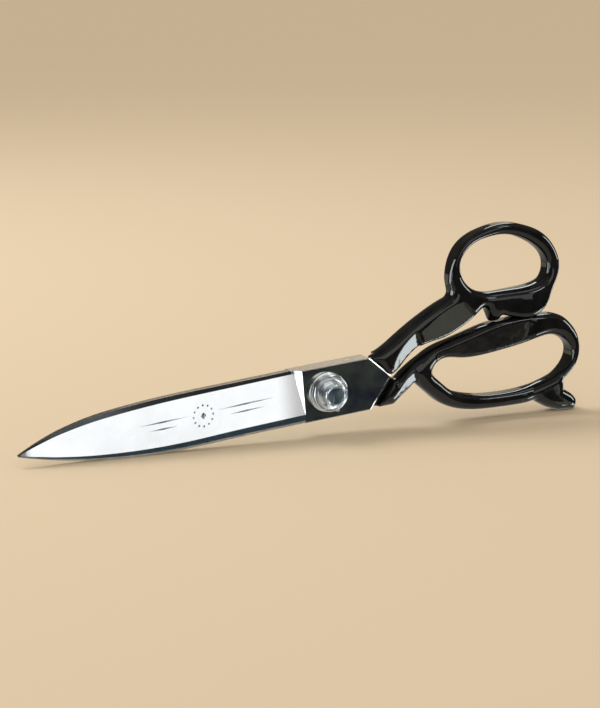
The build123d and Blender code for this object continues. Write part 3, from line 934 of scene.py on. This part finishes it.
# Depths towards the front from the meeting plane, and radii.
WASHER_TOP, FLANGE_TOP, COLLAR_TOP = 7.3, 11.3, 17.3
BOLT_END = COLLAR_TOP - 0.25
NUT_R, COLLAR_R, THREAD_R = 9.9, 5.9, 4.84
nut = lathe("pivot_nut_turned", rounded_profile(
    [(THREAD_R, WASHER_TOP), (NUT_R, WASHER_TOP), (NUT_R, FLANGE_TOP - 0.4), (NUT_R - 0.4, FLANGE_TOP),
     (NUT_R - 1.1, FLANGE_TOP), (NUT_R - 1.25, FLANGE_TOP - 0.3), (NUT_R - 1.45, FLANGE_TOP - 0.05),
     (NUT_R - 1.9, FLANGE_TOP), (NUT_R - 2.3, FLANGE_TOP - 0.45), (COLLAR_R, FLANGE_TOP - 0.8),
     (COLLAR_R, COLLAR_TOP - 0.35), (COLLAR_R - 0.35, COLLAR_TOP), (THREAD_R + 0.3, COLLAR_TOP),
     (THREAD_R, COLLAR_TOP - 0.3)],
    [0, 0.2, 0.12, 0.12, 0.05, 0.08, 0.08, 0.12, 0.2, 0.4, 0.12, 0.12, 0.08, 0.1]), TURNED_STEEL)
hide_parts("pivot_nut")
washer = lathe("spring_washer_polished", rounded_profile(
    [(THREAD_R + 0.2, 5.7), (10.7, 6.0), (10.7, 7.0), (THREAD_R + 0.2, WASHER_TOP)],
    [0, 0.25, 0.35, 0]), TURNED_STEEL)
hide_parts("spring_washer")
bolt = lathe("pivot_bolt_turned", rounded_profile(
    [(0.0, -9.04), (9.2, -9.04), (10.0, -8.2), (10.0, -6.04), (5.0, -6.04), (5.0, 0.0), (4.8, 0.2),
     (4.8, BOLT_END - 0.3), (4.5, BOLT_END), (0.0, BOLT_END - 0.12)],
    [0, 0.6, 0.5, 0.2, 0, 0, 0, 0.1, 0.1, 0]), BOLT_STEEL)
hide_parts("pivot_bolt")

for slot in frame["nodes"]["keeper_pin"].material_slots:
    slot.material = EDGE_STEEL

# ---- camera: from here on lengths are metres -----------------------------------------------------------
VIEW_AZIMUTH, VIEW_ELEVATION = -24.0, 11.64
VIEW_DISTANCE = 1.0
AIM_SHIFT = Vector((-0.0134, 0.0, 0.0206))      # from the pivot to the middle of the picture
FOCAL_WIDTHS = 3.1336      # focal length over the image's width
SENSOR = 36.0
camera_data = bpy.data.cameras.new("camera")
camera = bpy.data.objects.new("camera", camera_data)
bpy.context.scene.collection.objects.link(camera)
towards = Vector(direction_at(VIEW_AZIMUTH, VIEW_ELEVATION))
camera.location = PIVOT + AIM_SHIFT + towards * VIEW_DISTANCE
camera.rotation_euler = towards.to_track_quat("Z", "Y").to_euler()
camera_data.sensor_fit = "HORIZONTAL"
camera_data.sensor_width = SENSOR
camera_data.lens = FOCAL_WIDTHS * SENSOR
bpy.context.scene.camera = camera
bpy.context.scene.view_settings.view_transform = "Standard"

# ---- floor --------------------------------------------------------------------------------------------
FLOOR_REACH = 30.0
floor_mesh = bpy.data.meshes.new("floor")
floor_mesh.from_pydata([(-FLOOR_REACH, -FLOOR_REACH, 0), (FLOOR_REACH, -FLOOR_REACH, 0),
                        (FLOOR_REACH, FLOOR_REACH, 0), (-FLOOR_REACH, FLOOR_REACH, 0)], [], [(0, 1, 2, 3)])
floor = bpy.data.objects.new("floor", floor_mesh)
bpy.context.scene.collection.objects.link(floor)
floor_material, _, floor_shader = new_material("floor_paper", (0.70, 0.58, 0.43), 0.0, 1.0)
floor_shader.inputs["Specular IOR Level"].default_value = 0.0
floor_mesh.materials.append(floor_material)
floor.visible_glossy = False

# Opened, the front blade swings below the surface stood on, so the floor sinks with the blade's tip.
tip_mark = bpy.data.objects.new("tip_mark", None)
bpy.context.scene.collection.objects.link(tip_mark)
tip_mark.location = (cad_low[0], PIVOT.y, 0.0)
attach(tip_mark, FRONT_BODY)
follow = floor.constraints.new("COPY_LOCATION")
follow.target = tip_mark
follow.use_x = follow.use_y = False
stay_below = floor.constraints.new("LIMIT_LOCATION")
stay_below.use_max_z = True
stay_below.max_z = 0.0


# ---- light --------------------------------------------------------------------------------------------
PAPER = (0.56, 0.53, 0.46)
WALL = (0.10, 0.09, 0.07)
CEILING = (0.25, 0.25, 0.23)
DIM_ROOM = (0.042, 0.048, 0.052)
BACKDROP = (0.80, 0.75, 0.66)
PAPER_FADE = (-0.40, -0.27)     # heights of a direction between which the paper's reflection ends
CEILING_FADE = (0.25, 0.8)
WALL_FADE = (-0.35, 0.15)


def world_light():
    """Plain to the camera. In reflections: pale paper below, a dim room in front, a pale wall behind."""
    world = bpy.data.worlds.new("studio")
    bpy.context.scene.world = world
    world.use_nodes = True
    tree = world.node_tree
    parts = tree.nodes.new("ShaderNodeSeparateXYZ")
    tree.links.new(tree.nodes.new("ShaderNodeTexCoord").outputs["Generated"], parts.inputs[0])
    room = mixed(tree, smooth_step(tree, parts.outputs["Z"], *CEILING_FADE), DIM_ROOM, CEILING)
    upper = mixed(tree, smooth_step(tree, parts.outputs["Y"], *WALL_FADE), room, WALL)
    whole = mixed(tree, smooth_step(tree, parts.outputs["Z"], *PAPER_FADE), PAPER, upper)
    path = tree.nodes.new("ShaderNodeLightPath")
    tree.links.new(mixed(tree, path.outputs["Is Glossy Ray"], BACKDROP, whole),
                   tree.nodes["Background"].inputs["Color"])


def key_light(location, size, power, color):
    """A square softbox aimed at the origin, which polished surfaces don't reflect."""
    light = bpy.data.lights.new("key", "AREA")
    light.shape = "RECTANGLE"
    light.size = light.size_y = size
    light.energy = power
    light.color = color
    lamp = bpy.data.objects.new("key", light)
    bpy.context.scene.collection.objects.link(lamp)
    lamp.location = location
    lamp.rotation_euler = Vector(location).to_track_quat("Z", "Y").to_euler()
    lamp.visible_glossy = False


def card(name, direction, size, radiance, color):
    """A bright panel seen only in reflections: its direction from the pivot, and its width and height."""
    way = Vector(direction).normalized()
    across = way.cross(Vector((0, 0, 1))).normalized()
    upward = across.cross(way)
    centre = PIVOT + way * CARD_DISTANCE
    corners = [centre + sx * across * size[0] / 2 + sz * upward * size[1] / 2
               for sx, sz in ((-1, -1), (1, -1), (1, 1), (-1, 1))]
    mesh = bpy.data.meshes.new(name)
    mesh.from_pydata([tuple(c) for c in corners], [], [(0, 1, 2, 3)])
    material = bpy.data.materials.new(name)
    material.use_nodes = True
    tree = material.node_tree
    tree.nodes.clear()
    emission = tree.nodes.new("ShaderNodeEmission")
    emission.inputs["Color"].default_value = (*color, 1.0)
    emission.inputs["Strength"].default_value = radiance
    output = tree.nodes.new("ShaderNodeOutputMaterial")
    tree.links.new(emission.outputs[0], output.inputs["Surface"])
    material.cycles.emission_sampling = "NONE"
    mesh.materials.append(material)
    panel = bpy.data.objects.new(name, mesh)
    bpy.context.scene.collection.objects.link(panel)
    panel.visible_camera = False
    panel.visible_diffuse = False
    panel.visible_shadow = False
    panel.visible_transmission = False


CARD_DISTANCE = 2.0
COOL = (0.90, 0.98, 1.0)
WARM = (1.0, 0.86, 0.66)
PALE = (0.97, 0.99, 1.0)
OLIVE = (0.95, 0.97, 0.80)

world_light()
key_light((-0.7, 0.9, 1.5), 0.9, 14.0, (1.0, 0.98, 0.95))
card("front_card", (0.38, -1.92, 0.48), (1.35, 1.05), 1.14, PALE)
card("rim_left", direction_at(-66, -10), (0.5, 0.6), 3.0, COOL)
card("rim_top", direction_at(63, 62), (0.5, 0.4), 1.8, COOL)
card("rim_right", direction_at(114, -11), (0.5, 0.6), 3.0, COOL)
card("back_wall", direction_at(157, 13), (0.9, 0.6), 0.80, WARM)
card("wall_left", direction_at(-155, -10), (0.8, 0.5), 0.80, WARM)
card("paper_front", direction_at(40.4, -22), (0.22, 0.42), 1.05, OLIVE)
card("window_left", direction_at(-98, 0), (1.2, 1.75), 8.5, COOL)
card("window_right", direction_at(76, 12), (0.6, 0.75), 8.0, COOL)
card("window_side", direction_at(89, -30), (0.5, 0.45), 5.0, COOL)
card("window_low", direction_at(59, -29), (0.62, 0.62), 11.0, COOL)
card("window_high", direction_at(37, 36), (0.35, 0.3), 8.0, COOL)
card("tip_card", direction_at(-1, 37), (0.42, 0.82), 1.14, PALE)
card("window_back", direction_at(146, 36), (0.7, 0.5), 5.0, COOL)
